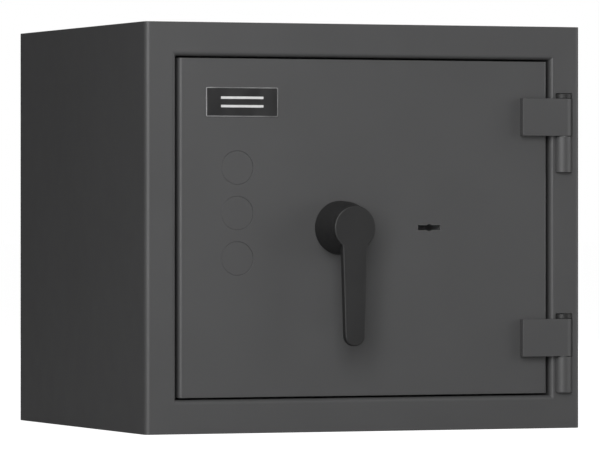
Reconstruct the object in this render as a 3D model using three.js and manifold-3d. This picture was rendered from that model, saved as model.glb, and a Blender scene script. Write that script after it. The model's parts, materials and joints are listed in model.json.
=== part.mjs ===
// A small multi-walled security safe: a filled steel body with a recessed, hinged door,
// a three-way boltwork thrown by a lever handle, and a double-bit key lock that holds the cam.
// Millimetres. +Z is up, +X is to the right of someone who faces the door, and the door faces -Y.
// The origin is the centre of the body's underside.
import * as THREE from "three";
import { mergeVertices } from "three/addons/utils/BufferGeometryUtils.js";
import Module from "manifold-3d";

const wasm = await Module();
wasm.setup();

// ---- driving dimensions ----

// body
const bodyWidth = 500;
const bodyHeight = 434;
const bodyDepth = 415;
const shellSheet = 3;
const linerSheet = 2;
const wall = 55; // outside of the body to the cavity, on five sides
const frameSide = 35; // width of the front frame beside the door
const frameEnd = 36; // and above and below it
const bend = 5.5; // radius of the frame's bent edges
const returnDepth = 22; // how far the frame's edge is turned into the opening
const jambThickness = 5;
const rebateLand = 5; // the step that the door slab closes on
const rebateGap = 2;
const jambFlange = 3;
const sealThickness = 2.1;
const sealWidth = 10;
const seat = 0.3; // gap left between pieces that touch

// door
const doorSetBack = 1.5; // door's face behind the frame's face
const gapSide = 3;
const gapTop = 2;
const gapBottom = 2;
const doorPlate = 4;
const doorFlange = 3;
const doorBend = 4;
const slabDepth = 42.5;
const casingInset = 9;
const casingDepth = 26.5;
const casingSheet = 3;
const coverSheet = 1.5;

// hinges
const knuckleRadius = 10;
const knuckleProud = 6.5; // how far the knuckles stand out of the frame's face
const pinInset = 19; // pin axis to the body's side
const pinRadius = 4.5;
const blockLength = 51.1; // pin axis to the free end of the door-side block
const blockHeight = 40.5;
const knuckleHeight = 38.8;
const hingeGap = 0.5; // between the block and the knuckle that it turns on
const hingeClearance = 0.8; // between the frame and the block that turns in it
const capHeight = 5.2;
const washerThickness = 1; // sunk in the top of the knuckle
const washerRadius = 6.5;
const runClearance = 0.6; // between turning or sliding pieces and what they pass
const upperHingeDrop = 80.3; // door's top edge to the upper hinge's split
const lowerHingeRise = 39.5; // door's bottom edge to the lower hinge's split

// handle and boltwork
const handleX = -29.6; // from the door's centre line
const hubBaseRadius = 28.7;
const headRadius = 23.5;
const handleReach = 44.5; // door's face to the handle's front
const gripTopWidth = 29.5;
const gripEndRadius = 11.3;
const gripLength = 125; // pivot to tip
const gripThickness = 8;
const edgeRound = 1.5;
const spindleRadius = 6.5;
const spindleSquare = 10;
const boltRadius = 10;
const boltLength = 60;
const boltThrow = 24;
const boltDepth = 55.5; // door's face to the bolts' axes
const boltEndMargin = 57; // outer bolts' axes to the casing's ends
const barThickness = 5;
const barWidth = 22;
const drivePinRadius = 4;
const drivePinStart = 24; // drive pin to the handle's axis with the bolts withdrawn
const camRadius = 72;
const camThickness = 5;
const handleTravel = Math.PI / 2; // turn that throws the bolts fully
const studRadius = 3;
const fixedBoltRadius = 7;
const fixedBoltBite = 7; // reach of the hinge-side bolts into the jamb

// lock
const keyX = 73.7;
const keyCircleRadius = 3.75;
const keySlotHalfWidth = 12.8;
const keySlotWaist = 2.2;
const keySlotTip = 2.6;
const barrelWall = 2.2; // beyond the ends of the key slot
const lockHalfHeight = 36;
const lockRight = 62; // key axis to the case's far side
const lockSheet = 2;
const lockDepth = 22;
const lockBoltHeight = 20;
const lockBoltThickness = 9;
const lockBoltThrow = 14;
const lockBoltTail = 40;

// trim and fittings
const plugRadius = 17.6;
const plugInset = 66; // from the door's left edge
const plugSpacing = 48;
const plugRise = 15.7; // middle plug above the door's centre
const badgeSize = [81, 31];
const badgeMargin = 30.5; // to the door's left and top edges
const badgeThickness = 1;
const coverScrewInset = [20, 21]; // from the casing's sides and ends
const anchorSpread = 240;
const anchorHeight = 290;
const anchorRadius = 7;
const sleeveWall = 3;
const shelfHeight = 215;
const shelfSheet = 2;
const shelfLip = 15;
const shelfSetBack = 20; // from the cavity's front and back
const railLeg = 12;

// ---- places worked out from them ----

const openHalfWidth = bodyWidth / 2 - frameSide;
const doorHalfWidth = openHalfWidth - gapSide;
const doorLow = frameEnd + gapBottom;
const doorHigh = bodyHeight - frameEnd - gapTop;
const doorHalfHeight = (doorHigh - doorLow) / 2;
const doorCentre = (doorHigh + doorLow) / 2;
const rebateFace = doorSetBack + slabDepth + rebateGap;
const coverBack = doorSetBack + slabDepth + casingDepth + seat + coverSheet;
const flangeFace = coverBack + sealThickness + 2 * seat;
const flangeBack = flangeFace + jambFlange;
const cavityHalfWidth = bodyWidth / 2 - wall;
const cavityBack = bodyDepth - wall;
const pinX = bodyWidth / 2 - pinInset;
const pinDepth = knuckleRadius - knuckleProud; // behind the frame's face
const hingeSplits = { upper: doorHigh - upperHingeDrop, lower: doorLow + lowerHingeRise };
const casingHalfWidth = doorHalfWidth - casingInset;
const casingHalfHeight = doorHalfHeight - casingInset;
const casingBack = slabDepth + casingDepth;
const chassisBack = slabDepth - seat; // back of the plate that closes the slab
const outerBoltHeight = casingHalfHeight - boltEndMargin;
const boltHeights = { upper: outerBoltHeight, middle: 0, lower: -outerBoltHeight };
const armFront = boltDepth - 6.5;
const armBack = armFront + barThickness;
const camFront = armBack + 1.5;
const camBack = camFront + camThickness;
const slotRadius = drivePinRadius + 0.5;
const boltTip = -casingHalfWidth + 0.5; // left bolts withdrawn, in the door's frame
const endBoltTip = casingHalfHeight - 0.5;
const endBoltLength = boltLength - 10;
const barrelRadius = keySlotHalfWidth + barrelWall;
const lockFront = slabDepth + seat;
const lockBack = lockFront + lockDepth;
const lockBoltMid = (camFront + camBack) / 2;
const lockBoltLow = 6; // the lock bolt runs above the key's axis
const lockBoltTip = handleX + camRadius + 1.5 - keyX; // withdrawn, from the key's axis
const lockLeft = lockBoltTip + 4.5;
const boltTailLow = barrelRadius + 2;

// ---- solids ----

// A closed three.js geometry as a manifold-3d solid.
function solid(geometry) {
  const bare = geometry.clone();
  bare.deleteAttribute("normal");
  bare.deleteAttribute("uv");
  const merged = mergeVertices(bare, 1e-4);
  return new wasm.Manifold(
    new wasm.Mesh({
      numProp: 3,
      vertProperties: merged.attributes.position.array,
      triVerts: new Uint32Array(merged.index.array),
    }),
  );
}

function box([x0, x1], [y0, y1], [z0, z1]) {
  const geometry = new THREE.BoxGeometry(x1 - x0, y1 - y0, z1 - z0);
  return solid(geometry.translate((x0 + x1) / 2, (y0 + y1) / 2, (z0 + z1) / 2));
}

// A box that is symmetric in x and z.
const slab = (halfX, ys, halfZ) => box([-halfX, halfX], ys, [-halfZ, halfZ]);

const sidesOf = (radius) => (radius < 6 ? 12 : radius < 20 ? 24 : 48);

// A round bar along one axis, from one place on it to another, centred on [a, b] of the other two.
function bar(axis, radius, from, to, [a, b] = [0, 0]) {
  const sides = sidesOf(radius);
  const geometry = new THREE.CylinderGeometry(radius, radius, to - from, sides);
  if (axis === "x") geometry.rotateZ(Math.PI / 2).translate((from + to) / 2, a, b);
  if (axis === "y") geometry.translate(a, (from + to) / 2, b);
  if (axis === "z") geometry.rotateX(Math.PI / 2).translate(a, b, (from + to) / 2);
  return solid(geometry);
}

const ring = (axis, outer, inner, from, to, at) =>
  bar(axis, outer, from, to, at).subtract(bar(axis, inner, from - 1, to + 1, at));

// An outline in x and z, pushed along y. Rounded edges stay inside the outline and both ends.
function prismY(shape, from, to, round = 0) {
  const geometry = new THREE.ExtrudeGeometry(shape, {
    depth: to - from - 2 * round,
    curveSegments: 8,
    bevelEnabled: round > 0,
    bevelThickness: round,
    bevelSize: round,
    bevelOffset: -round,
    bevelSegments: Math.ceil(round + 1),
  });
  return solid(geometry.rotateX(Math.PI / 2).translate(0, to - round, 0));
}

// An outline in x and y, pushed along z.
function prismZ(shape, from, to) {
  const options = { depth: to - from, bevelEnabled: false, curveSegments: 12 };
  const geometry = new THREE.ExtrudeGeometry(shape, options);
  return solid(geometry.translate(0, 0, from));
}

const rectangle = (Kind, [x0, x1], [y0, y1]) =>
  new Kind([[x0, y0], [x1, y0], [x1, y1], [x0, y1]].map(([x, y]) => new THREE.Vector2(x, y)));

const join = (...solids) => solids.reduce((all, next) => all.add(next));
const cut = (whole, ...holes) => holes.reduce((left, hole) => left.subtract(hole), whole);

// ---- the scene graph ----

const paint = (color, roughness = 0.55, metalness = 0.1) =>
  new THREE.MeshStandardMaterial({ color, roughness, metalness });
const materials = {
  graphitePaint: paint(0x525253),
  interiorPaint: paint(0xc9cccb),
  blackPlastic: paint(0x2e2e2f, 0.5, 0),
  filling: paint(0x9a968e, 0.95, 0),
  plated: paint(0xb9bcc0, 0.3, 1),
  steel: paint(0x8b8e92, 0.4, 1),
  brass: paint(0xb08d4a, 0.35, 1),
  seal: paint(0x2b2b2b, 0.9, 0),
  badge: paint(0x1c1c1d, 0.4, 0.2),
};

function add(parent, name, shape, material) {
  const { vertProperties, triVerts } = shape.getMesh();
  const geometry = new THREE.BufferGeometry();
  geometry.setAttribute("position", new THREE.BufferAttribute(vertProperties, 3));
  geometry.setIndex(new THREE.BufferAttribute(triVerts, 1));
  geometry.computeVertexNormals();
  const mesh = new THREE.Mesh(geometry, material);
  mesh.name = name;
  parent.add(mesh);
  return mesh;
}

function group(parent, x, y, z) {
  const made = new THREE.Group();
  made.position.set(x, y, z);
  parent.add(made);
  return made;
}

const safe = new THREE.Group();
const body = group(safe, 0, -bodyDepth / 2, 0); // y runs back from the frame's face
const door = group(body, 0, doorSetBack, doorCentre); // y runs back from the door's face
const handle = group(door, handleX, 0, 0);
const lock = group(door, keyX, 0, 0);
const hinges = Object.fromEntries(
  Object.entries(hingeSplits).map(([side, z]) => [side, group(body, pinX, pinDepth, z)]),
);

// ---- body ----

const anchorPlaces = { left: -anchorSpread / 2, right: anchorSpread / 2 };
const openingHeights = (grow) => [frameEnd - grow, bodyHeight - frameEnd + grow];
const openingWidths = (grow) => [-openHalfWidth - grow, openHalfWidth + grow];
const cavityWidths = (grow) => [-cavityHalfWidth - grow, cavityHalfWidth + grow];
const cavityHeights = (grow) => [wall - grow, bodyHeight - wall + grow];

// The round pocket in the frame that a hinge is sunk in, wider where the block turns.
function hingePocket(z) {
  const low = z - hingeGap / 2;
  const high = z + hingeGap / 2 + blockHeight;
  const ends = [low - knuckleHeight - seat, high + capHeight + 2 * seat];
  return join(
    bar("z", knuckleRadius + seat, ...ends, [pinX, pinDepth]),
    bar("z", knuckleRadius + hingeClearance, low, high + seat, [pinX, pinDepth]),
  );
}

function outerShell() {
  const halfWidth = bodyWidth / 2;
  const face = rectangle(THREE.Shape, [-halfWidth, halfWidth], [-2 * bend, bodyHeight + 2 * bend]);
  face.holes.push(rectangle(THREE.Path, openingWidths(0), openingHeights(0)));
  const folded = prismY(face, 0, bodyDepth + 2 * bend, bend);
  const outside = folded.intersect(box([-halfWidth, halfWidth], [0, bodyDepth], [0, bodyHeight]));
  const inside = box(
    [shellSheet - halfWidth, halfWidth - shellSheet],
    [shellSheet, bodyDepth + 1],
    [shellSheet, bodyHeight - shellSheet],
  );
  const turnedEdge = box(openingWidths(shellSheet), [0, returnDepth], openingHeights(shellSheet));
  return cut(outside, inside.subtract(turnedEdge), ...Object.values(hingeSplits).map(hingePocket));
}

function rearPanel() {
  const gap = shellSheet + seat;
  const panel = box(
    [gap - bodyWidth / 2, bodyWidth / 2 - gap],
    [bodyDepth - shellSheet, bodyDepth],
    [gap, bodyHeight - gap],
  );
  return cut(panel, ...anchorHoles(anchorRadius + seat));
}

function anchorHoles(radius) {
  const ends = [cavityBack - 10, bodyDepth + 10];
  return Object.values(anchorPlaces).map((x) => bar("y", radius, ...ends, [x, anchorHeight]));
}

// Holes in the jamb, and pockets in the filling behind it, that the thrown bolts go into.
function boltWays(radius, reach) {
  const side = -openHalfWidth - jambThickness;
  const depth = doorSetBack + boltDepth;
  const across = Object.values(boltHeights).map((z) =>
    bar("x", radius, side - reach, -openHalfWidth + 2 * rebateLand, [depth, doorCentre + z]),
  );
  const low = frameEnd - jambThickness - reach;
  const down = bar("z", radius, low, wall, [handleX, depth]);
  const up = bar("z", radius, bodyHeight - wall, bodyHeight - low, [handleX, depth]);
  return [...across, down, up];
}

// The hinge-side bolts swing out of their slots, so each slot is longer towards the front.
function fixedBoltSlots() {
  const depth = doorSetBack + boltDepth;
  const front = depth - fixedBoltRadius - 3.5;
  const half = fixedBoltRadius + 1;
  return Object.values(boltHeights).map((z) =>
    box(
      [openHalfWidth - 2 * rebateLand, openHalfWidth + jambThickness + 1],
      [front, depth + fixedBoltRadius + 0.8],
      [doorCentre + z - half, doorCentre + z + half],
    ),
  );
}

function jambFrame() {
  const ys = [returnDepth + seat, flangeBack];
  return cut(
    box(openingWidths(jambThickness), ys, openingHeights(jambThickness)),
    box(openingWidths(0), [0, rebateFace], openingHeights(0)),
    box(openingWidths(-rebateLand), [0, flangeFace], openingHeights(-rebateLand)),
    box(cavityWidths(0), [0, flangeBack + 1], cavityHeights(0)),
    ...boltWays(boltRadius + runClearance, 1),
    ...fixedBoltSlots(),
  );
}

function wallFilling() {
  const gap = shellSheet + seat;
  const block = box(
    [gap - bodyWidth / 2, bodyWidth / 2 - gap],
    [gap, bodyDepth - gap],
    [gap, bodyHeight - gap],
  );
  const jambRoom = jambThickness + seat;
  const linerRoom = linerSheet + seat;
  return cut(
    block,
    box(openingWidths(jambRoom), [0, flangeBack + seat], openingHeights(jambRoom)),
    box(cavityWidths(linerRoom), [0, cavityBack + linerRoom], cavityHeights(linerRoom)),
    ...boltWays(boltRadius + 2, boltThrow / 2),
    ...Object.values(hingeSplits).map(hingePocket),
    ...anchorHoles(anchorRadius + sleeveWall + 2 * seat),
  );
}

function innerLiner() {
  const front = flangeBack + seat;
  const outsideEnds = [front, cavityBack + linerSheet];
  const outside = box(cavityWidths(linerSheet), outsideEnds, cavityHeights(linerSheet));
  const inside = box(cavityWidths(0), [front - 1, cavityBack], cavityHeights(0));
  return cut(outside, inside, ...anchorHoles(anchorRadius + seat));
}

function doorSeal() {
  const halfWidth = casingHalfWidth + 2;
  const halfHeight = casingHalfHeight + 2;
  const window = slab(halfWidth - sealWidth, [0, bodyDepth], halfHeight - sealWidth);
  return slab(halfWidth, [coverBack + seat, flangeFace - seat], halfHeight).subtract(window);
}

function shelf() {
  const half = cavityHalfWidth - 2;
  const front = flangeBack + shelfSetBack;
  const back = cavityBack - shelfSetBack;
  const top = shelfHeight + shelfSheet;
  return join(
    box([-half, half], [front, back], [shelfHeight, top]),
    box([-half, half], [front, front + shelfSheet], [top - shelfLip, top]),
    box([-half, half], [back - shelfSheet, back], [top - shelfLip, top]),
  );
}

function shelfRail(side) {
  const outer = cavityHalfWidth - seat;
  const ys = [flangeBack + shelfSetBack + 3 * shelfSheet, cavityBack - shelfSetBack - 3 * shelfSheet];
  const top = shelfHeight - seat;
  const leg = box([outer - shelfSheet, outer], ys, [top - railLeg, top]);
  const ledge = box([outer - railLeg, outer], ys, [top - shelfSheet, top]);
  const rail = join(leg, ledge);
  return side === "left" ? rail.mirror([1, 0, 0]) : rail;
}

add(body, "outer_shell", outerShell(), materials.graphitePaint);
add(body, "rear_panel", rearPanel(), materials.graphitePaint);
add(body, "wall_filling", wallFilling(), materials.filling);
add(body, "jamb_frame", jambFrame(), materials.graphitePaint);
add(body, "inner_liner", innerLiner(), materials.interiorPaint);
add(body, "door_seal", doorSeal(), materials.seal).position.z = doorCentre;
add(body, "shelf", shelf(), materials.interiorPaint);
for (const [side, x] of Object.entries(anchorPlaces)) {
  const anchor = group(body, x, 0, anchorHeight);
  const sleeveEnds = [cavityBack + linerSheet + seat, bodyDepth - shellSheet - seat];
  const sleeve = ring("y", anchorRadius + sleeveWall, anchorRadius + seat, ...sleeveEnds);
  const plugHead = bar("y", anchorRadius + 5, cavityBack - 2 - seat, cavityBack - seat);
  add(anchor, `anchor_sleeve_${side}`, sleeve, materials.steel);
  const stem = bar("y", anchorRadius, cavityBack - 1, bodyDepth - seat);
  add(anchor, `anchor_plug_${side}`, join(plugHead, stem), materials.blackPlastic);
  add(body, `shelf_rail_${side}`, shelfRail(side), materials.interiorPaint);
}

// ---- hinges ----

// The door-side half: a flat block that ends in a full round about the pin.
function hingeBlock() {
  const doorFace = doorSetBack - pinDepth - seat;
  const frameFace = -pinDepth - runClearance;
  const stepX = -(pinX - openHalfWidth) - 2;
  const outline = new THREE.Shape();
  outline.moveTo(-blockLength, -knuckleRadius);
  outline.lineTo(0, -knuckleRadius);
  const meetsFrame = Math.PI + Math.asin(-frameFace / knuckleRadius);
  outline.absarc(0, 0, knuckleRadius, -Math.PI / 2, meetsFrame, false);
  outline.lineTo(stepX, frameFace);
  outline.lineTo(stepX, doorFace);
  outline.lineTo(-blockLength, doorFace);
  const low = hingeGap / 2;
  const pinHole = bar("z", pinRadius + seat, 0, 2 * blockHeight);
  return prismZ(outline, low, low + blockHeight).subtract(pinHole);
}

// The frame-side half: a tube with a washer sunk in its top.
function hingeKnuckle(top) {
  const washerBed = bar("z", washerRadius + seat, top + hingeGap - washerThickness - 2 * seat, top + 1);
  return ring("z", knuckleRadius, pinRadius + seat, top - knuckleHeight, top).subtract(washerBed);
}

for (const [side, hinge] of Object.entries(hinges)) {
  const low = -hingeGap / 2;
  const high = hingeGap / 2 + blockHeight;
  const washerTop = hingeGap / 2 - seat;
  const pinTop = high - 4 - capHeight;
  const cap = join(
    bar("z", knuckleRadius, high + seat, high + seat + capHeight),
    bar("z", pinRadius, pinTop + seat, high + 1),
  );
  const washer = ring("z", washerRadius, pinRadius + seat, washerTop - washerThickness, washerTop);
  add(hinge, `hinge_block_${side}`, hingeBlock(), materials.graphitePaint);
  add(hinge, `hinge_knuckle_${side}`, hingeKnuckle(low), materials.graphitePaint);
  add(hinge, `hinge_pin_${side}`, bar("z", pinRadius, low - knuckleHeight, pinTop), materials.plated);
  add(hinge, `hinge_cap_${side}`, cap, materials.blackPlastic);
  add(hinge, `hinge_washer_${side}`, washer, materials.steel);
}

// ---- door ----

// The double-bit key's slot: a round middle with a wing to each side that widens outwards.
function keySlot(from, to, grow = 0) {
  const half = keySlotHalfWidth + grow;
  const waist = keySlotWaist + grow;
  const tip = keySlotTip + grow;
  const outline = [[-half, -tip], [0, -waist], [half, -tip], [half, tip], [0, waist], [-half, tip]];
  const wings = new THREE.Shape(outline.map(([x, z]) => new THREE.Vector2(x, z)));
  return prismY(wings, from, to).add(bar("y", keyCircleRadius + grow, from, to));
}

const bushRadius = spindleRadius + 3.5;
const tubeRadius = keySlotHalfWidth + 2.8;
const plateHalf = [60, 50]; // the drill-resistant plate over the lock
const plugHeights = { upper: plugRise + plugSpacing, middle: plugRise, lower: plugRise - plugSpacing };
const plugX = plugInset - doorHalfWidth;

function doorSkin() {
  const outline = new THREE.Shape();
  outline.moveTo(-doorHalfWidth, slabDepth);
  outline.lineTo(-doorHalfWidth, doorBend);
  outline.absarc(doorBend - doorHalfWidth, doorBend, doorBend, Math.PI, 1.5 * Math.PI, false);
  outline.lineTo(doorHalfWidth - doorBend, 0);
  outline.absarc(doorHalfWidth - doorBend, doorBend, doorBend, 1.5 * Math.PI, 2 * Math.PI, false);
  outline.lineTo(doorHalfWidth, slabDepth);
  const pan = prismZ(outline, -doorHalfHeight, doorHalfHeight);
  const insideEnds = [doorPlate, slabDepth + 1];
  const inside = slab(doorHalfWidth - doorFlange, insideEnds, doorHalfHeight - doorFlange);
  const through = [-1, doorPlate + 1];
  return cut(
    pan,
    inside,
    bar("y", bushRadius + seat, ...through, [handleX, 0]),
    keySlot(...through).translate([keyX, 0, 0]),
    ...Object.values(plugHeights).map((z) => bar("y", plugRadius + seat, ...through, [plugX, z])),
  );
}

function doorFilling() {
  const block = slab(
    doorHalfWidth - doorFlange - seat,
    [doorPlate + seat, chassisBack - casingSheet - seat],
    doorHalfHeight - doorFlange - seat,
  );
  const plateRoom = box(
    [keyX - plateHalf[0] - seat, keyX + plateHalf[0] + seat],
    [0, doorPlate + 6 + seat],
    [-plateHalf[1] - seat, plateHalf[1] + seat],
  );
  return cut(
    block,
    plateRoom,
    bar("y", bushRadius + seat, 0, slabDepth, [handleX, 0]),
    bar("y", tubeRadius + seat, 0, slabDepth, [keyX, 0]),
  );
}

// Guide studs: each runs in a slot of its bar, behind the drive pin and clear of the cam.
const studReach = camRadius + studRadius + 8;
const studPlaces = [[handleX - studReach, 0], [handleX, studReach], [handleX, -studReach]];
const screwX = casingHalfWidth - coverScrewInset[0];
const screwZ = casingHalfHeight - coverScrewInset[1];
const screwPlaces = [[-screwX, screwZ], [screwX, screwZ], [-screwX, -screwZ], [screwX, -screwZ]];
const screwRadius = 2.5;

// The tray behind the slab that holds the boltwork: its base plate, walls, guide studs and screw posts.
function boltworkCasing() {
  const innerWidth = doorHalfWidth - doorFlange - seat;
  const innerHeight = doorHalfHeight - doorFlange - seat;
  const base = slab(innerWidth, [chassisBack - casingSheet, chassisBack], innerHeight);
  const ys = [chassisBack - 1, casingBack];
  const walls = slab(casingHalfWidth, ys, casingHalfHeight).subtract(
    slab(casingHalfWidth - casingSheet, [0, casingBack + 1], casingHalfHeight - casingSheet),
  );
  const studs = studPlaces.map((at) => bar("y", studRadius, chassisBack - 1, armBack + 1, at));
  const posts = screwPlaces.map((at) => bar("y", 2 * screwRadius, chassisBack - 1, casingBack, at));
  const boltWay = boltRadius + runClearance;
  const holes = [
    ...screwPlaces.map((at) => bar("y", screwRadius + seat, casingBack - 14, casingBack + 1, at)),
    bar("y", bushRadius + seat, 0, slabDepth, [handleX, 0]),
    bar("y", tubeRadius + seat, 0, slabDepth, [keyX, 0]),
    bar("z", boltWay, casingHalfHeight - 5, casingHalfHeight + 1, [handleX, boltDepth]),
    bar("z", boltWay, -casingHalfHeight - 1, 5 - casingHalfHeight, [handleX, boltDepth]),
  ];
  for (const z of Object.values(boltHeights)) {
    const at = [boltDepth, z];
    holes.push(bar("x", boltWay, -casingHalfWidth - 1, 5 - casingHalfWidth, at));
    holes.push(bar("x", fixedBoltRadius + seat, casingHalfWidth - 5, casingHalfWidth + 1, at));
  }
  return cut(join(base, walls, ...studs, ...posts), ...holes);
}

function backCover() {
  const ys = [casingBack + seat, casingBack + seat + coverSheet];
  const holes = screwPlaces.map((at) => bar("y", screwRadius + seat, 0, 2 * casingBack, at));
  return cut(slab(casingHalfWidth, ys, casingHalfHeight), ...holes);
}

function coverScrew() {
  const headFront = casingBack + 2 * seat + coverSheet;
  return join(
    bar("y", screwRadius, casingBack - 12, headFront + 1),
    bar("y", 2 * screwRadius, headFront, headFront + 1.8),
  );
}

// A hinge-side bolt: a collar inside the casing's wall and a pin that stands out of it.
function fixedBolt() {
  const wallInside = casingHalfWidth - casingSheet;
  const tip = openHalfWidth - rebateLand + fixedBoltBite;
  return join(
    bar("x", fixedBoltRadius + 3, wallInside - seat - 5, wallInside - seat, [boltDepth, 0]),
    bar("x", fixedBoltRadius, wallInside - seat - 1, tip, [boltDepth, 0]),
  );
}

add(door, "door_skin", doorSkin(), materials.graphitePaint);
add(door, "door_filling", doorFilling(), materials.filling);
add(door, "boltwork_casing", boltworkCasing(), materials.interiorPaint);
add(door, "door_back_cover", backCover(), materials.interiorPaint);
const badgeX = badgeMargin + badgeSize[0] / 2 - doorHalfWidth;
const badgeZ = doorHalfHeight - badgeMargin - badgeSize[1] / 2;
const badge = slab(badgeSize[0] / 2, [-badgeThickness - seat, -seat], badgeSize[1] / 2);
add(door, "badge_plate", badge, materials.badge).position.set(badgeX, 0, badgeZ);
for (const [side, z] of Object.entries(plugHeights)) {
  const plug = bar("y", plugRadius, 0.4, doorPlate);
  add(door, `face_plug_${side}`, plug, materials.graphitePaint).position.set(plugX, 0, z);
}
for (const [side, z] of Object.entries(boltHeights)) {
  add(door, `fixed_bolt_${side}`, fixedBolt(), materials.plated).position.z = z;
}
screwPlaces.forEach(([x, z], index) => {
  add(door, `cover_screw_${index + 1}`, coverScrew(), materials.plated).position.set(x, 0, z);
});

// ---- handle, spindle and cam ----

function leverHandle() {
  const front = -handleReach;
  const profile = [[0, seat], [hubBaseRadius, seat], [hubBaseRadius - 0.4, 2.5]];
  profile.push([headRadius, handleReach - 6]);
  for (let turn = 0; turn <= 90; turn += 30) {
    const angle = THREE.MathUtils.degToRad(turn);
    profile.push([
      headRadius - edgeRound * (1 - Math.cos(angle)),
      handleReach - edgeRound * (1 - Math.sin(angle)),
    ]);
  }
  profile.push([0, handleReach]);
  const points = profile.map(([radius, reach]) => new THREE.Vector2(radius, reach));
  const hub = solid(new THREE.LatheGeometry(points, sidesOf(hubBaseRadius)).rotateX(Math.PI));
  const grip = new THREE.Shape();
  const lean = Math.atan2(gripTopWidth / 2 - gripEndRadius, gripLength - gripEndRadius);
  grip.moveTo(gripTopWidth / 2, 0);
  grip.lineTo(-gripTopWidth / 2, 0);
  grip.absarc(0, gripEndRadius - gripLength, gripEndRadius, Math.PI + lean, 2 * Math.PI - lean, false);
  const blade = prismY(grip, front, front + gripThickness, edgeRound);
  const socket = slab(spindleSquare / 2 + seat, [front + 10, 1], spindleSquare / 2 + seat);
  return join(hub, blade).subtract(socket);
}

function handleSpindle() {
  const half = spindleSquare / 2;
  return join(
    slab(half, [11 - handleReach, 1], half),
    bar("y", spindleRadius, 0, camFront - 2),
    slab(half, [camFront - 3, camBack + 5], half),
  );
}

// A slot along the spiral that a drive pin follows as the cam turns under it.
function spiralSlot(start) {
  const steps = 12;
  const along = (share) => {
    const turn = start + share * handleTravel;
    const radius = drivePinStart + share * boltThrow;
    return new THREE.Vector2(Math.cos(turn), Math.sin(turn)).multiplyScalar(radius);
  };
  const edge = (side) =>
    Array.from({ length: steps + 1 }, (_, index) => {
      const share = index / steps;
      const way = along(share + 0.001).sub(along(share - 0.001)).normalize();
      return along(share).add(new THREE.Vector2(-way.y, way.x).multiplyScalar(side * slotRadius));
    });
  const outline = new THREE.Shape([...edge(1), ...edge(-1).reverse()]);
  const through = [camFront - 1, camBack + 1];
  const ends = [0, 1].map((share) => bar("y", slotRadius, ...through, along(share).toArray()));
  return join(prismY(outline, ...through), ...ends);
}

// A notch in the cam's rim that the lock bolt drops into, at either end of the handle's travel.
function lockNotch(turn) {
  const depth = lockBoltThrow + 1.5;
  const heights = [lockBoltLow - 0.5, lockBoltLow + lockBoltHeight + 0.5];
  const notch = box([camRadius + 1.5 - depth, camRadius + 2], [camFront - 1, camBack + 1], heights);
  return notch.rotate([0, -turn, 0]);
}

function camDisc() {
  const half = spindleSquare / 2 + seat;
  const turn = THREE.MathUtils.radToDeg(handleTravel);
  return cut(
    bar("y", camRadius, camFront, camBack),
    slab(half, [camFront - 1, camBack + 1], half),
    ...[Math.PI, Math.PI / 2, -Math.PI / 2].map(spiralSlot),
    lockNotch(0),
    lockNotch(turn),
  );
}

function camCollar() {
  const half = spindleSquare / 2 + seat;
  const collar = bar("y", spindleSquare + 1, camBack + seat, camBack + 5);
  return collar.subtract(slab(half, [0, 2 * casingBack], half));
}

const bush = join(
  bar("y", bushRadius, 1 + seat, slabDepth + 1),
  bar("y", bushRadius + 4, slabDepth, slabDepth + 2),
).subtract(bar("y", spindleRadius + seat, -1, slabDepth + 3));
add(handle, "spindle_bush", bush, materials.brass);
add(handle, "lever_handle", leverHandle(), materials.blackPlastic);
add(handle, "handle_spindle", handleSpindle(), materials.steel);
add(handle, "cam_disc", camDisc(), materials.plated);
add(handle, "cam_collar", camCollar(), materials.steel);

// ---- boltwork ----

// A flat bar drawn along +x: its drive pin sits at the start, and it ends where the bolt begins.
function driveBar(length) {
  const half = barWidth / 2;
  const end = drivePinStart + length;
  const flat = box([drivePinStart - drivePinRadius - 4, end], [armFront, armBack], [-half, half]);
  const guide = [studReach - boltThrow - studRadius - 0.5, studReach + studRadius + 0.5];
  const slot = box(guide, [armFront - 1, armBack + 1], [-studRadius - 0.5, studRadius + 0.5]);
  return join(cut(flat, slot), bar("y", drivePinRadius, armBack - 1, camBack + 1, [drivePinStart, 0]));
}

// The bar's direction is given in degrees about the handle's axis, from +x towards +z.
const turned = (shape, degrees) => shape.rotate([0, -degrees, 0]);
const sideBarX = boltTip + boltLength + seat; // the vertical bar's left face, in the door's frame
const sideReach = handleX - sideBarX - 6 - drivePinStart + 1;
const endReach = endBoltTip - endBoltLength - seat - drivePinStart;

function sideBar() {
  const tall = outerBoltHeight + boltRadius + 3;
  const left = sideBarX - handleX;
  const post = box([left, left + 6], [boltDepth - 8.5, boltDepth + 8.5], [-tall, tall]);
  return join(turned(driveBar(sideReach), 180), post);
}

add(handle, "bolt_bar_side", sideBar(), materials.plated);
for (const [side, z] of Object.entries(boltHeights)) {
  const bolt = bar("x", boltRadius, boltTip, boltTip + boltLength, [boltDepth, 0]);
  add(door, `side_bolt_${side}`, bolt, materials.plated).position.z = z;
}
for (const [end, sign] of [["top", 1], ["bottom", -1]]) {
  const ends = [endBoltTip - endBoltLength, endBoltTip].map((z) => sign * z).sort((a, b) => a - b);
  add(handle, `bolt_rod_${end}`, turned(driveBar(endReach), 90 * sign), materials.plated);
  add(handle, `end_bolt_${end}`, bar("z", boltRadius, ...ends, [0, boltDepth]), materials.plated);
}

// ---- key lock ----

function drillPlate() {
  const plate = slab(plateHalf[0], [doorPlate + 2 * seat, doorPlate + 6], plateHalf[1]);
  return plate.subtract(keySlot(0, slabDepth, 0.4));
}

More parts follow.
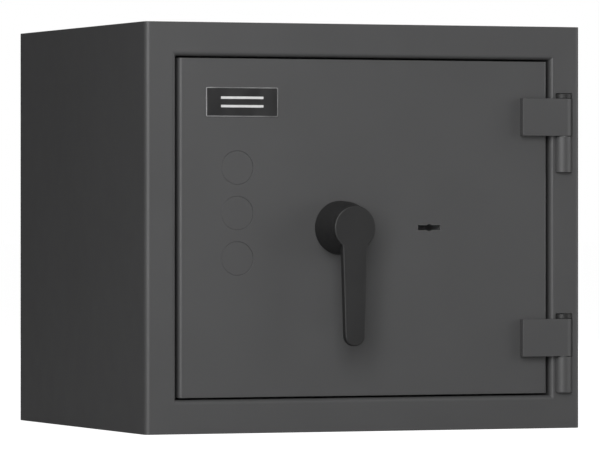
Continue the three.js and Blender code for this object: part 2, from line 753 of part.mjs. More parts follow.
function lockCase() {
  const outside = box([lockLeft, lockRight], [lockFront, lockBack], [-lockHalfHeight, lockHalfHeight]);
  const inside = box(
    [lockLeft + lockSheet, lockRight - lockSheet],
    [lockFront + lockSheet, lockBack + 1],
    [lockSheet - lockHalfHeight, lockHalfHeight - lockSheet],
  );
  const boltWindow = box(
    [lockLeft - 1, lockLeft + lockSheet + 1],
    [lockBoltMid - lockBoltThickness / 2 - 0.4, lockBoltMid + lockBoltThickness / 2 + 0.4],
    [lockBoltLow - 0.4, lockBoltLow + lockBoltHeight + 0.4],
  );
  const keyWay = bar("y", keySlotHalfWidth + 0.6, lockFront - 1, lockFront + lockSheet + 1);
  return cut(outside, inside, boltWindow, keyWay);
}

function lockBolt() {
  const ys = [lockBoltMid - lockBoltThickness / 2, lockBoltMid + lockBoltThickness / 2];
  const top = lockBoltLow + lockBoltHeight;
  const headEnd = -barrelRadius - 2;
  return join(
    box([lockBoltTip, headEnd], ys, [lockBoltLow, top]),
    box([headEnd - 1, lockBoltTail], ys, [boltTailLow, top]),
  );
}

const barrelEnds = [lockFront + lockSheet + seat, lockBack - 0.6];
const barrel = bar("y", barrelRadius, ...barrelEnds).subtract(keySlot(0, 2 * lockBack, 0.2));
const lidEnds = [lockBack + seat, lockBack + seat + coverSheet];
const lockLid = box([lockLeft, lockRight], lidEnds, [-lockHalfHeight, lockHalfHeight]);
const keyTube = ring("y", tubeRadius, keySlotHalfWidth + 0.6, doorPlate + 6 + seat, slabDepth);
add(lock, "drill_plate", drillPlate(), materials.steel);
add(lock, "key_tube", keyTube, materials.steel);
add(lock, "lock_case", lockCase(), materials.steel);
add(lock, "lock_cover", lockLid, materials.steel);
add(lock, "lock_bolt", lockBolt(), materials.brass);
add(lock, "key_barrel", barrel, materials.steel);

export default safe;
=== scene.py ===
"""Looks of a key-locked box safe: materials, detailed pieces, studio light and camera."""

import json
import math

import bmesh
import bpy
from mathutils import Matrix, Vector

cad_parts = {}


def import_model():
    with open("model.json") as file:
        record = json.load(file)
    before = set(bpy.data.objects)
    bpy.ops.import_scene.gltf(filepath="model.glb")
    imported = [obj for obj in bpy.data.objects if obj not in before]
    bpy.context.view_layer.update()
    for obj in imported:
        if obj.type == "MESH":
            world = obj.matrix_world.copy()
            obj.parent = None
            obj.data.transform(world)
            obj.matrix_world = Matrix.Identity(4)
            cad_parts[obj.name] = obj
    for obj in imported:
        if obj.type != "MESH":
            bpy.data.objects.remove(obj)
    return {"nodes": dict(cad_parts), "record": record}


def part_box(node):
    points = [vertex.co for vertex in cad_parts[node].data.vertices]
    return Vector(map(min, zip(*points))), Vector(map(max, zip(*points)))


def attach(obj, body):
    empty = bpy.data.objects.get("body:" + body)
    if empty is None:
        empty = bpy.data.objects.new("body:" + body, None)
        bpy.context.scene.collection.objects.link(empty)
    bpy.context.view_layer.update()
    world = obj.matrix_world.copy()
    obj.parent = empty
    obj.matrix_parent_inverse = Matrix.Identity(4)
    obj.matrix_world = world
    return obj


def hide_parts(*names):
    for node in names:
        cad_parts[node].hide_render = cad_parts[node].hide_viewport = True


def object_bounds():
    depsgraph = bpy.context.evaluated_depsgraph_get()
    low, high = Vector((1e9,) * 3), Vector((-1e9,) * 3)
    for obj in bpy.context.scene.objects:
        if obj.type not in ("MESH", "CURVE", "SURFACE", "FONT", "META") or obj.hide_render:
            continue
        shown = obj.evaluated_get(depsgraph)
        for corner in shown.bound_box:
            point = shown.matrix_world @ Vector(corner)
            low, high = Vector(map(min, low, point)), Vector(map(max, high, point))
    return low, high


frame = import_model()
nodes = frame["nodes"]
cad_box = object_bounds()

MM = 0.001
SHARP_ANGLE = math.radians(32)


# ---- node helpers ----


class Shader:
    """A node material under construction, with short calls for the nodes that it needs."""

    def __init__(self, name, **values):
        self.material = bpy.data.materials.new(name)
        self.material.use_nodes = True
        self.tree = self.material.node_tree
        self.surface = self.tree.nodes["Principled BSDF"]
        for socket, value in values.items():
            self.surface.inputs[socket.replace("_", " ")].default_value = value

    def node(self, kind, inputs=None, **settings):
        made = self.tree.nodes.new("ShaderNode" + kind)
        for key, value in settings.items():
            setattr(made, key, value)
        for socket, value in (inputs or {}).items():
            self.feed(made.inputs[socket], value)
        return made

    def feed(self, socket, value):
        if isinstance(value, bpy.types.NodeSocket):
            self.tree.links.new(value, socket)
        else:
            socket.default_value = value

    def coordinates(self, scale=(1, 1, 1)):
        place = self.node("TexCoord").outputs["Object"]
        return self.node("Mapping", {"Vector": place, "Scale": scale}).outputs["Vector"]

    def noise(self, scale, detail=3, roughness=0.5, stretch=(1, 1, 1)):
        inputs = {
            "Vector": self.coordinates(stretch),
            "Scale": scale,
            "Detail": detail,
            "Roughness": roughness,
        }
        return self.node("TexNoise", inputs).outputs["Fac"]

    def math(self, operation, *values):
        inputs = dict(enumerate(values))
        return self.node("Math", inputs, operation=operation).outputs[0]

    def remap(self, value, low, high, to_low, to_high):
        inputs = {0: value, 1: low, 2: high, 3: to_low, 4: to_high}
        return self.node("MapRange", inputs, clamp=True).outputs[0]

    def mix(self, share, first, second, mode="MIX"):
        mixer = self.node("Mix", data_type="RGBA", blend_type=mode)
        self.feed(mixer.inputs[0], share)
        self.feed(mixer.inputs[6], first)
        self.feed(mixer.inputs[7], second)
        return mixer.outputs[2]

    def edge(self, reach, low=0.03, high=0.25):
        """1 on convex edges, 0 elsewhere: where a bevelled normal leaves the true one."""
        bevelled = self.node("Bevel", {"Radius": reach}, samples=4).outputs[0]
        normal = self.node("NewGeometry").outputs["Normal"]
        inputs = {0: bevelled, 1: normal}
        along = self.node("VectorMath", inputs, operation="DOT_PRODUCT").outputs["Value"]
        return self.remap(self.math("SUBTRACT", 1.0, along), low, high, 0.0, 1.0)

    def bump(self, height, strength, distance, under=None):
        inputs = {"Height": height, "Strength": strength, "Distance": distance}
        if under is not None:
            inputs["Normal"] = under
        return self.node("Bump", inputs).outputs["Normal"]

    def set(self, socket, value):
        self.feed(self.surface.inputs[socket], value)


# ---- materials ----


def powder_coat(name, colour, roughness, peel=0.5):
    """Satin powder coat: orange peel, a fine grain, cloudy gloss and slightly rubbed edges."""
    s = Shader(name, Metallic=0.0, IOR=1.5)
    clouds = s.noise(9.0, detail=4)
    tone = s.remap(clouds, 0.3, 0.7, 0.97, 1.03)
    grey = s.node("CombineColor", {0: tone, 1: tone, 2: tone}).outputs[0]
    painted = s.mix(1.0, (*colour, 1), grey, "MULTIPLY")
    rubbed = [min(1.0, 1.35 * c + 0.01) for c in colour]
    worn = s.math("MULTIPLY", s.edge(0.8 * MM), s.remap(s.noise(60.0), 0.4, 0.7, 0.1, 0.6))
    s.set("Base Color", s.mix(worn, painted, (*rubbed, 1)))
    gloss = s.remap(s.noise(35.0, detail=5), 0.3, 0.7, -0.02, 0.025)
    s.set("Roughness", s.math("ADD", gloss, roughness))
    rounded = s.node("Bevel", {"Radius": 0.35 * MM}, samples=4).outputs[0]
    coarse = s.bump(s.noise(520.0, detail=2), peel, 0.03 * MM, rounded)
    s.set("Normal", s.bump(s.noise(2600.0, detail=1), 0.35 * peel, 0.01 * MM, coarse))
    return s.material


def moulded_plastic(name, colour, roughness=0.54):
    """Black glass-filled plastic with an eroded mould texture, burnished where hands rub it, with a painted
    highlight along its convex edges.
    """
    s = Shader(name, Metallic=0.0, IOR=1.46)
    tone = s.remap(s.noise(25.0, detail=4), 0.3, 0.7, 0.9, 1.1)
    grey = s.node("CombineColor", {0: tone, 1: tone, 2: tone}).outputs[0]
    plain = s.mix(1.0, (*colour, 1), grey, "MULTIPLY")
    # painted highlight: convex edges are mixed towards a lighter grey, standing in for the light that the
    # rims catch
    edges = s.edge(1.0 * MM)
    s.set("Base Color", s.mix(s.math("MULTIPLY", edges, 0.35), plain, (0.03, 0.03, 0.03, 1)))
    handled = s.remap(s.noise(14.0, detail=2), 0.45, 0.65, 0.0, 0.1)
    s.set("Roughness", s.math("SUBTRACT", roughness, handled))
    coarse = s.bump(s.noise(1500.0, detail=2), 0.35, 0.03 * MM)
    s.set("Normal", s.bump(s.noise(5000.0, detail=1), 0.2, 0.01 * MM, coarse))
    return s.material


def metal(name, colour, roughness, streaks=(1, 1, 1), tarnish=(0.2, 0.16, 0.12), bare=1.0):
    """Bare or plated metal with drawn or turned streaks, dull patches and bright edges."""
    s = Shader(name, Metallic=bare)
    dull = s.remap(s.noise(30.0, detail=5), 0.5, 0.8, 0.0, 0.35)
    aged = s.mix(dull, (*colour, 1), (*tarnish, 1))
    bright = [min(1.0, 1.2 * c) for c in colour]
    s.set("Base Color", s.mix(s.edge(0.6 * MM), aged, (*bright, 1)))
    fine = s.noise(900.0, detail=2, stretch=streaks)
    spread = s.remap(fine, 0.3, 0.7, -0.08, 0.08)
    s.set("Roughness", s.math("ADD", s.math("ADD", spread, roughness), s.math("MULTIPLY", dull, 0.3)))
    rounded = s.node("Bevel", {"Radius": 0.25 * MM}, samples=4).outputs[0]
    s.set("Normal", s.bump(fine, 0.25, 0.01 * MM, rounded))
    return s.material


def cast_filling(name):
    """Rough cast filling with grains and pores."""
    s = Shader(name, Roughness=0.95)
    grains = s.node("TexVoronoi", {"Vector": s.coordinates(), "Scale": 260.0}).outputs["Distance"]
    sand = s.mix(s.noise(40.0, detail=6), (0.26, 0.24, 0.21, 1), (0.42, 0.39, 0.35, 1))
    s.set("Base Color", s.mix(s.remap(grains, 0.0, 0.5, 0.5, 0.0), sand, (0.18, 0.16, 0.14, 1)))
    s.set("Normal", s.bump(grains, 0.8, 0.6 * MM))
    return s.material


def seal_strip(name):
    """Graphite fire seal: a matt black strip with a fibrous surface."""
    s = Shader(name, Metallic=0.0)
    fibres = s.noise(1400.0, detail=4, stretch=(0.15, 1, 0.15))
    s.set("Base Color", s.mix(fibres, (0.012, 0.012, 0.013, 1), (0.045, 0.044, 0.043, 1)))
    s.set("Roughness", s.remap(fibres, 0.3, 0.7, 0.75, 0.95))
    s.set("Normal", s.bump(fibres, 0.6, 0.08 * MM))
    return s.material


def printed(name, colour, roughness):
    """A printed or enamelled label colour, with a faint grain and handling marks."""
    s = Shader(name, Metallic=0.0)
    tone = s.remap(s.noise(180.0, detail=3), 0.3, 0.7, 0.93, 1.04)
    grey = s.node("CombineColor", {0: tone, 1: tone, 2: tone}).outputs[0]
    s.set("Base Color", s.mix(1.0, (*colour, 1), grey, "MULTIPLY"))
    s.set("Roughness", s.remap(s.noise(70.0, detail=4), 0.3, 0.7, roughness - 0.05, roughness + 0.1))
    s.set("Normal", s.bump(s.noise(2500.0, detail=1), 0.1, 0.01 * MM))
    return s.material


finishes = {
    "graphite_paint": powder_coat("graphite_paint", (0.052, 0.052, 0.053), 0.5),
    "interior_paint": powder_coat("interior_paint", (0.55, 0.57, 0.56), 0.45, peel=0.35),
    "black_plastic": moulded_plastic("black_plastic", (0.0108, 0.0108, 0.0111)),
    "filling": cast_filling("filling"),
    "plated_steel": metal(
        "plated_steel", (0.60, 0.61, 0.62), 0.28, streaks=(1, 1, 0.1), tarnish=(0.42, 0.40, 0.34)
    ),
    "plain_steel": metal("plain_steel", (0.42, 0.42, 0.43), 0.38, streaks=(0.1, 1, 1), bare=0.85),
    "brass": metal("brass", (0.62, 0.43, 0.18), 0.3, streaks=(0.3, 1, 0.3), tarnish=(0.25, 0.15, 0.06)),
    "seal": seal_strip("seal"),
    "badge": printed("badge_black", (0.0165, 0.0165, 0.017), 0.35),
}
badge_rim = metal("badge_rim", (0.6, 0.6, 0.605), 0.35, streaks=(0.1, 1, 1), tarnish=(0.3, 0.3, 0.3))
light_ink = printed("light_ink", (0.55, 0.55, 0.55), 0.45)


# ---- mesh helpers ----

slot_of = {part["node"]: part["material_slot"] for part in frame["record"]["subparts"]}
groups = frame["record"]["behaviour"]["bodies"]
body_of = {node: body for body, group in groups.items() for node in group}
joints = {joint["name"]: joint for joint in frame["record"]["behaviour"]["joints"]}


def piece(name, mesh, node, finish=None, stands_for=True):
    """A bmesh as a shown piece that rides with a CAD node's body and, by default, replaces the node."""
    bmesh.ops.recalc_face_normals(mesh, faces=mesh.faces)
    data = bpy.data.meshes.new(name)
    for face in mesh.faces:
        face.smooth = True
    mesh.to_mesh(data)
    mesh.free()
    data.set_sharp_from_angle(angle=SHARP_ANGLE)
    made = bpy.data.objects.new(name, data)
    bpy.context.scene.collection.objects.link(made)
    weigh = made.modifiers.new("weighted_normals", "WEIGHTED_NORMAL")
    weigh.keep_sharp = True
    data.materials.append(finish or finishes[slot_of[node]])
    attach(made, body_of[node])
    if stands_for:
        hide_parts(node)
    return made


def axes_of(axis):
    """The unit vector along an axis, and the other two in x, y, z order."""
    units = {"x": Vector((1, 0, 0)), "y": Vector((0, 1, 0)), "z": Vector((0, 0, 1))}
    return [units.pop(axis), *units.values()]


def rounded(corners, steps=5):
    """Points of an open or closed outline, with an arc at each corner (a, b, radius) that has a radius."""
    points = []
    count = len(corners)
    for index, (a, b, radius) in enumerate(corners):
        here = Vector((a, b))
        if not radius:
            points.append(here)
            continue
        before = (Vector(corners[index - 1][:2]) - here).normalized()
        after = (Vector(corners[(index + 1) % count][:2]) - here).normalized()
        half = before.angle(after) / 2
        start = here + before * radius / math.tan(half)
        centre = here + (before + after).normalized() * radius / math.sin(half)
        sweep = math.pi - 2 * half
        spin = -1 if before.cross(after) > 0 else 1
        for step in range(steps + 1):
            turn = Matrix.Rotation(spin * sweep * step / steps, 2)
            points.append(centre + turn @ (start - centre))
    return points


def bridge(mesh, ring_a, ring_b):
    """Quads between two rings of the same count, or a fan to a single point."""
    count = max(len(ring_a), len(ring_b))
    for index in range(count):
        following = (index + 1) % count
        corners = [ring_a[index % len(ring_a)], ring_a[following % len(ring_a)]]
        corners += [ring_b[following % len(ring_b)], ring_b[index % len(ring_b)]]
        corners = list(dict.fromkeys(corners))
        if len(corners) > 2:
            mesh.faces.new(corners)


def turned(mesh, axis, centre, profile, segments=72):
    """A solid turned about an axis through centre, from a profile of (distance along it, radius)."""
    along, across, up = axes_of(axis)
    rings = []
    for distance, radius in profile:
        middle = centre + along * distance
        if radius < 1e-6:
            rings.append([mesh.verts.new(middle)])
            continue
        angles = [2 * math.pi * index / segments for index in range(segments)]
        spokes = [across * math.cos(a) + up * math.sin(a) for a in angles]
        rings.append([mesh.verts.new(middle + spoke * radius) for spoke in spokes])
    for first, second in zip(rings, rings[1:]):
        bridge(mesh, first, second)
    return rings


def extruded(mesh, axis, outline, low, high, rim=0.0, steps=3):
    """A prism of a closed outline between two places on an axis, with its rims rounded over."""
    along, across, up = axes_of(axis)
    count = len(outline)
    inward = []
    for index, point in enumerate(outline):
        ahead = (outline[(index + 1) % count] - point).normalized()
        behind = (point - outline[index - 1]).normalized()
        normals = Vector((-ahead.y, ahead.x)), Vector((-behind.y, behind.x))
        sum_of = normals[0] + normals[1]
        inward.append(sum_of / max(0.3, sum_of.dot(normals[0])))
    area = sum(p.cross(outline[(i + 1) % count]) for i, p in enumerate(outline))
    side = 1 if area > 0 else -1
    angles = [math.pi / 2 * step / steps for step in range(steps + 1)] if rim else [math.pi / 2]
    levels = [(low + rim * (1 - math.cos(a)), rim * (1 - math.sin(a))) for a in angles]
    levels = levels + [(high - (place - low), inset) for place, inset in levels[::-1]]
    rings = []
    for place, inset in levels:
        ring = []
        for point, towards in zip(outline, inward):
            flat = point + towards * inset * side
            ring.append(mesh.verts.new(along * place + across * flat.x + up * flat.y))
        rings.append(ring)
    for first, second in zip(rings, rings[1:]):
        bridge(mesh, first, second)
    mesh.faces.new(rings[0])
    mesh.faces.new(rings[-1])


def beside_pin(edge):
    """True for an edge of the pockets that the hinges are sunk in, which stay crisp."""
    pocket_reach = 13 * MM
    pin = joints["door_swing"]["pos_m"]
    middle = (edge.verts[0].co + edge.verts[1].co) / 2
    return math.hypot(middle.x - pin[0], middle.y - pin[1]) < pocket_reach


def refined(node, width):
    """A copy of a CAD node with its flat facets joined and its hard edges rounded over."""
    mesh = bmesh.new()
    mesh.from_mesh(nodes[node].data)
    bmesh.ops.remove_doubles(mesh, verts=mesh.verts, dist=0.001 * MM)
    bmesh.ops.dissolve_limit(mesh, angle_limit=math.radians(0.5), verts=mesh.verts, edges=mesh.edges)
    hard = [e for e in mesh.edges if e.is_manifold and e.calc_face_angle() > SHARP_ANGLE]
    hard = [e for e in hard if not beside_pin(e)]
    bmesh.ops.bevel(
        mesh, geom=hard, offset=width, segments=2, profile=0.5, affect="EDGES", clamp_overlap=True
    )
    return piece(f"{node}_form", mesh, node)


def spanned(node):
    """A node's lowest and highest corners and its centre, as vectors."""
    low, high = (Vector(corner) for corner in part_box(node))
    return low, high, (low + high) / 2


def round_bar(node, axis, ends, grooves=(), swell=0.0):
    """A bar turned to a CAD node's size plus swell, with rounded ends and shallow grooves along it."""
    low, high, middle = spanned(node)
    order = "xyz".index(axis)
    length = high[order] - low[order]
    radius = (high[(order + 1) % 3] - low[(order + 1) % 3]) / 2 + swell
    start = middle.copy()
    start[order] = low[order]
    corners = [(0, 0, 0), (0, radius, ends)]
    for place in grooves:
        corners += [
            (place - 0.5 * MM, radius, 0),
            (place - 0.3 * MM, radius - 0.25 * MM, 0),
            (place + 0.3 * MM, radius - 0.25 * MM, 0),
            (place + 0.5 * MM, radius, 0),
        ]
    corners += [(length, radius, ends), (length, 0, 0)]
    mesh = bmesh.new()
    turned(mesh, axis, start, rounded(corners, 4))
    return piece(f"{node}_form", mesh, node)


# ---- handle ----


def lever_handle():
    """Moulded lever: a tapered hub that grows into a flat head, and a tapered grip in the head's plane."""
    head_radius = 23.5 * MM
    grip_half = 14.75 * MM
    end_radius = 11.3 * MM
    length = 125 * MM
    thickness = 8 * MM
    front_rim = 1.6 * MM
    back_rim = 1.2 * MM
    low, high, _ = spanned("lever_handle")
    pivot = Vector(joints["handle_turn"]["pos_m"])
    base_radius = (high.x - low.x) / 2
    lean = math.atan2(grip_half - end_radius, length - end_radius)

    # the grip's side runs from (grip_half, 0), leaning in, and leaves the head's circle at the corner angle
    slope = math.tan(lean)
    reach = 0.0
    for _ in range(20):
        reach = math.sqrt(head_radius**2 - (grip_half - slope * reach) ** 2)
    corner = math.atan2(-reach, grip_half - slope * reach)
    arc_steps = 64
    sweep = math.pi - 2 * corner
    head = [corner + sweep * step / arc_steps for step in range(arc_steps + 1)]
    head_points = [Vector((math.cos(a), math.sin(a))) * head_radius for a in head]
    tip_steps = 24
    tip_start = math.pi + lean
    tip = [tip_start + (math.pi - 2 * lean) * step / tip_steps for step in range(tip_steps + 1)]
    tip_centre = Vector((0, end_radius - length))
    tip_points = [tip_centre + Vector((math.cos(a), math.sin(a))) * end_radius for a in tip]
    side_steps = 12
    left = [head_points[-1].lerp(tip_points[0], step / side_steps) for step in range(1, side_steps)]
    right = [tip_points[-1].lerp(head_points[0], step / side_steps) for step in range(1, side_steps)]
    outline = head_points + left + tip_points + right
    on_grip = len(outline) - len(head_points)

    def inward(index):
        ahead = (outline[(index + 1) % len(outline)] - outline[index]).normalized()
        behind = (outline[index] - outline[index - 1]).normalized()
        normals = Vector((-ahead.y, ahead.x)), Vector((-behind.y, behind.x))
        sum_of = normals[0] + normals[1]
        return sum_of / sum_of.dot(normals[0])

    def back_share(index):
        """How much of the back rim's rounding a point takes: none on the head, all along the grip."""
        if index < len(head_points):
            return 0.0
        place = index - len(head_points) + 1
        return min(1.0, place / 2, (on_grip + 1 - place) / 2)

    mesh = bmesh.new()
    door_side = high.y
    front = low.y

    def ring(points, y):
        return [mesh.verts.new((pivot.x + p.x, y, pivot.z + p.y)) for p in points]

    rim_steps = 6
    rings = []
    for step in range(rim_steps + 1):
        angle = math.pi / 2 * step / rim_steps
        points = []
        depths = []
        for index, point in enumerate(outline):
            share = back_share(index) * back_rim
            points.append(point + inward(index) * share * (1 - math.sin(angle)))
            depths.append(front + thickness - share * (1 - math.cos(angle)))
        made = ring(points, 0)
        for vertex, depth in zip(made, depths):
            vertex.co.y = depth
        rings.append(made)
    for step in range(rim_steps + 1):
        angle = math.pi / 2 * step / rim_steps
        points = [p + inward(i) * front_rim * (1 - math.cos(angle)) for i, p in enumerate(outline)]
        rings.append(ring(points, front + front_rim * (1 - math.sin(angle))))
    for first, second in zip(rings, rings[1:]):
        bridge(mesh, first, second)
    mesh.faces.new(rings[-1])

    # hub: circles that share the head's angles, closed below by the arc that the grip covers
    under_steps = 24
    under = [head[-1] + (2 * math.pi - sweep) * step / under_steps for step in range(1, under_steps)]
    circle = [Vector((math.cos(a), math.sin(a))) for a in head + under]
    under_ring = ring([c * head_radius for c in circle[len(head) :]], front + thickness)
    top_ring = rings[0][: len(head)] + under_ring
    mesh.faces.new(rings[0][len(head) - 1 :] + [rings[0][0]] + under_ring[::-1])
    hub = [(front + thickness + 2.0 * MM, head_radius + 0.02 * MM)]
    for step in range(1, 9):
        share = step / 8
        spread = 1 - (1 - share) ** 3
        depth = front + thickness + 2.0 * MM + share * (door_side - front - thickness - 4.5 * MM)
        hub.append((depth, head_radius + spread * (base_radius - 0.3 * MM - head_radius)))
    hub += [
        (door_side - 1.6 * MM, base_radius - 0.05 * MM),
        (door_side - 0.5 * MM, base_radius),
        (door_side - 0.1 * MM, base_radius - 0.15 * MM),
        (door_side, base_radius - 0.6 * MM),
    ]
    last = top_ring
    for depth, radius in hub:
        following = ring([c * radius for c in circle], depth)
        bridge(mesh, last, following)
        last = following
    mesh.faces.new(last)
    bmesh.ops.remove_doubles(mesh, verts=mesh.verts, dist=0.001 * MM)
    return piece("lever_handle_moulding", mesh, "lever_handle")


# ---- hinges ----


def hinge_block(side):
    """Door-side hinge half: a flat block whose end is a full round about the pin, without its bore."""
    node = f"hinge_block_{side}"
    low, high, _ = spanned(node)
    pin = Vector(joints["door_swing"]["pos_m"])
    radius = high.x - pin.x
    seat = 0.3 * MM
    above_pin = 4.1 * MM
    before_frame = 18 * MM
    softening = 0.5 * MM
    door_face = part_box("door_skin")[0][1] - seat
    frame_face = pin.y - above_pin
    step_x = pin.x - before_frame
    end = math.pi + math.asin((pin.y - frame_face) / radius)
    sweep = end + math.pi / 2
    arc_steps = 40
    arc = [-math.pi / 2 + sweep * step / arc_steps for step in range(arc_steps + 1)]
    outline = [Vector((low.x, low.y))]
    outline += [Vector((pin.x + radius * math.cos(a), pin.y + radius * math.sin(a))) for a in arc]
    outline += [Vector((step_x, frame_face)), Vector((step_x, door_face)), Vector((low.x, door_face))]
    mesh = bmesh.new()
    extruded(mesh, "z", outline, low.z, high.z, rim=softening)
    upright = [e for e in mesh.edges if abs(e.verts[0].co.z - e.verts[1].co.z) > 5 * MM]
    starts = {e: e.verts[0].co for e in upright}
    left = [e for e in upright if abs(starts[e].x - low.x) < 0.1 * MM and starts[e].y < pin.y - 4 * MM]
    bmesh.ops.bevel(mesh, geom=left, offset=softening, segments=3, profile=0.5, affect="EDGES")
    return piece(f"{node}_form", mesh, node)


def hinge_knuckle(side):
    """Frame-side hinge half: a turned tube with softened ends."""
    return round_bar(f"hinge_knuckle_{side}", "z", ends=0.5 * MM)


def hinge_cap(side):
    """Black plug on top of the hinge: a turned cap with a domed top and a stem."""
    node = f"hinge_cap_{side}"
    low, high, middle = spanned(node)
    radius = (high.x - low.x) / 2
    stem = 4.5 * MM
    cap_height = 5.2 * MM
    length = high.z - low.z
    shoulder = length - cap_height
    corners = [
        (0, 0, 0),
        (0, stem, 0.6 * MM),
        (shoulder, stem, 0),
        (shoulder, radius, 0.3 * MM),
        (length - 0.25 * MM, radius, 0.9 * MM),
        (length, 0, 0),
    ]
    mesh = bmesh.new()
    turned(mesh, "z", Vector((middle.x, middle.y, low.z)), rounded(corners, 4))
    return piece(f"{node}_form", mesh, node)


# ---- badge, plugs and screws ----


def badge():
    """A thin metal plate with a black field and two plain centred bars, which stand for no real mark."""
    node = "badge_plate"
    low, high, middle = spanned(node)
    rim = 0.9 * MM
    rise = 0.12 * MM
    bar_half_length = 24.0 * MM
    bar_half_height = 1.3 * MM
    bar_offset = 4.5 * MM

    def tile(name, x0, x1, z0, z1, front, back, radius, finish, stands_for=False):
        outline = rounded([(x0, z0, radius), (x1, z0, radius), (x1, z1, radius), (x0, z1, radius)], 4)
        mesh = bmesh.new()
        extruded(mesh, "y", outline, front, back, rim=0.04 * MM, steps=2)
        return piece(name, mesh, node, finish, stands_for)

    plate_front = low.y + 0.3 * MM
    tile("badge_plate_form", low.x, high.x, low.z, high.z, plate_front, high.y, 1.2 * MM, badge_rim, True)
    field = (low.x + rim, high.x - rim, low.z + rim, high.z - rim)
    field_front = plate_front - rise
    tile("badge_field", *field, field_front, plate_front, 0.7 * MM, finishes["badge"])
    across = (middle.x - bar_half_length, middle.x + bar_half_length)
    for name, lift in (("badge_bar_upper", bar_offset), ("badge_bar_lower", -bar_offset)):
        centre = middle.z + lift
        place = (*across, centre - bar_half_height, centre + bar_half_height)
        tile(name, *place, field_front - rise / 2, field_front, 0.5 * MM, light_ink)


def face_plug(side):
    """Round plug that fills one of the spare lock holes, with a softened rim and a tight fit."""
    return round_bar(f"face_plug_{side}", "y", ends=0.3 * MM, swell=0.16 * MM)


def cover_screw(node):
    """Pan-head screw with a hexagon socket, driven into its post."""
    low, high, middle = spanned(node)
    head_radius = (high.x - low.x) / 2
    shank = head_radius / 2
    head = 1.8 * MM
    length = high.y - low.y
    socket_depth = 1.1 * MM
    socket = 1.5 * MM
    corners = [
        (0, 0, 0),
        (0.6 * MM, shank, 0),
        (length - head, shank, 0),
        (length - head, head_radius, 0.15 * MM),
        (length - 0.5 * head, head_radius, 0.4 * MM),
        (length, head_radius * 0.72, 0.5 * MM),
        (length, socket, 0),
    ]
    mesh = bmesh.new()
    start = Vector((middle.x, low.y, middle.z))
    rings = turned(mesh, "y", start, rounded(corners, 3), segments=48)
    mouth = rings[-1]
    for index, vertex in enumerate(mouth):
        angle = 2 * math.pi * index / len(mouth)
        flat = (angle % (math.pi / 3)) - math.pi / 6
        reach = socket / math.cos(flat)
        vertex.co = start + Vector((math.cos(angle) * reach, length, math.sin(angle) * reach))
    floor = [mesh.verts.new(v.co - Vector((0, socket_depth, 0))) for v in mouth]
    bridge(mesh, mouth, floor)
    mesh.faces.new(floor)
    return piece(f"{node}_form", mesh, node)


# ---- assembly ----

lever_handle()
badge()
for side in ("upper", "lower"):
    hinge_block(side)
    hinge_knuckle(side)
    hinge_cap(side)
for side in ("upper", "middle", "lower"):
    face_plug(side)
    round_bar(f"side_bolt_{side}", "x", ends=1.5 * MM, grooves=(6 * MM, 9 * MM))
for end in ("top", "bottom"):
    round_bar(f"end_bolt_{end}", "z", ends=1.5 * MM)
for number in range(1, 5):
    cover_screw(f"cover_screw_{number}")

for node in ("outer_shell", "door_skin"):
    refined(node, 0.5 * MM)
for node in ("rear_panel", "jamb_frame", "inner_liner", "shelf", "shelf_rail_left", "shelf_rail_right"):
    refined(node, 0.35 * MM)
for node in ("boltwork_casing", "door_back_cover", "cam_disc", "lock_case", "lock_cover", "drill_plate"):
    refined(node, 0.25 * MM)
for node in ("bolt_bar_side", "bolt_rod_top", "bolt_rod_bottom", "lock_bolt", "door_seal"):
    refined(node, 0.25 * MM)

for name, node in nodes.items():
    if not node.hide_render:
        node.data.materials.clear()
        node.data.materials.append(finishes[slot_of[name]])


# ---- studio ----


def aimed(obj, target):
    """Turn a light to face a point."""
    obj.rotation_euler = (Vector(target) - obj.location).to_track_quat("-Z", "Y").to_euler()


def softbox(name, place, target, width, height, power):
    """A rectangular studio light, in metres and watts."""
    light = bpy.data.lights.new(name, "AREA")
    light.shape = "RECTANGLE"
    light.size = width
    light.size_y = height
    light.energy = power
    obj = bpy.data.objects.new(name, light)
    bpy.context.scene.collection.objects.link(obj)
    obj.location = place
    aimed(obj, target)


def pale_floor():
    """A large pale floor that shows the object's soft contact shadow."""
    low = cad_box[0]
    half = 30.0
    mesh = bpy.data.meshes.new("floor")
    corners = [(-half, -half), (half, -half), (half, half), (-half, half)]
    mesh.from_pydata([(x, y, low.z - 0.1 * MM) for x, y in corners], [], [(0, 1, 2, 3)])
    floor = bpy.data.objects.new("floor", mesh)
    bpy.context.scene.collection.objects.link(floor)
    s = Shader("floor", Roughness=0.9)
    s.set("Base Color", (0.35, 0.35, 0.35, 1))
    output = s.tree.nodes["Material Output"]
    glow = s.node("Emission", {"Strength": 0.9})
    seen = s.node("LightPath").outputs["Is Camera Ray"]
    both = s.node("AddShader", {0: s.surface.outputs[0], 1: glow.outputs[0]})
    mixed = s.node("MixShader", {0: seen, 1: s.surface.outputs[0], 2: both.outputs[0]})
    s.tree.links.new(mixed.outputs[0], output.inputs["Surface"])
    floor.data.materials.append(s.material)


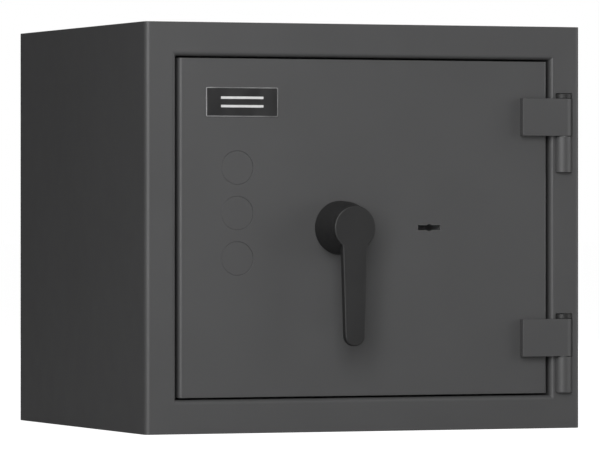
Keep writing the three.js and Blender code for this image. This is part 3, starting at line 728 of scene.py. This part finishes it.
def world():
    """A white backdrop, and a dimmer light round the object that grows towards the top."""
    made = bpy.data.worlds.new("studio")
    bpy.context.scene.world = made
    made.use_nodes = True
    tree = made.node_tree
    tree.nodes.clear()
    output = tree.nodes.new("ShaderNodeOutputWorld")
    mixer = tree.nodes.new("ShaderNodeMixShader")
    seen = tree.nodes.new("ShaderNodeLightPath")
    direction = tree.nodes.new("ShaderNodeTexCoord")
    height = tree.nodes.new("ShaderNodeSeparateXYZ")
    strength = tree.nodes.new("ShaderNodeMapRange")
    tree.links.new(direction.outputs["Generated"], height.inputs[0])
    tree.links.new(height.outputs["Z"], strength.inputs[0])
    for index, value in enumerate((-0.1, 0.8, 0.0, 0.3), start=1):
        strength.inputs[index].default_value = value
    for index in (1, 2):
        background = tree.nodes.new("ShaderNodeBackground")
        background.inputs["Color"].default_value = (1, 1, 1, 1)
        tree.links.new(background.outputs[0], mixer.inputs[index])
        if index == 1:
            tree.links.new(strength.outputs[0], background.inputs["Strength"])
    tree.links.new(seen.outputs["Is Camera Ray"], mixer.inputs[0])
    tree.links.new(mixer.outputs[0], output.inputs["Surface"])


def camera():
    """The photograph's view: a long lens, level, from the front and 21.4 degrees to the object's left."""
    data = bpy.data.cameras.new("camera")
    data.sensor_width = 36.0
    data.lens = 310.75
    data.shift_y = -0.0284
    made = bpy.data.objects.new("camera", data)
    bpy.context.scene.collection.objects.link(made)
    made.location = (-2.0828, -5.3203, 0.2349)
    made.rotation_euler = (math.radians(90), 0, math.radians(-21.4336))
    bpy.context.scene.camera = made


pale_floor()
world()
softbox("key", (-1.0, -2.5, 1.7), (0, -0.2, 0.22), 1.8, 1.4, 45)
softbox("low_left", (-1.3, -2.8, 0.5), (0, -0.2, 0.22), 1.6, 1.0, 25)
softbox("left_strip", (-1.5, -1.8, 0.6), (0, -0.2, 0.22), 0.5, 1.5, 14)
softbox("right", (2.0, -1.0, 0.55), (0.2, -0.1, 0.22), 1.2, 1.5, 15)
softbox("back", (1.5, 2.8, 1.5), (0, 0.2, 0.22), 1.5, 1.5, 25)
camera()
bpy.context.scene.view_settings.view_transform = "Standard"
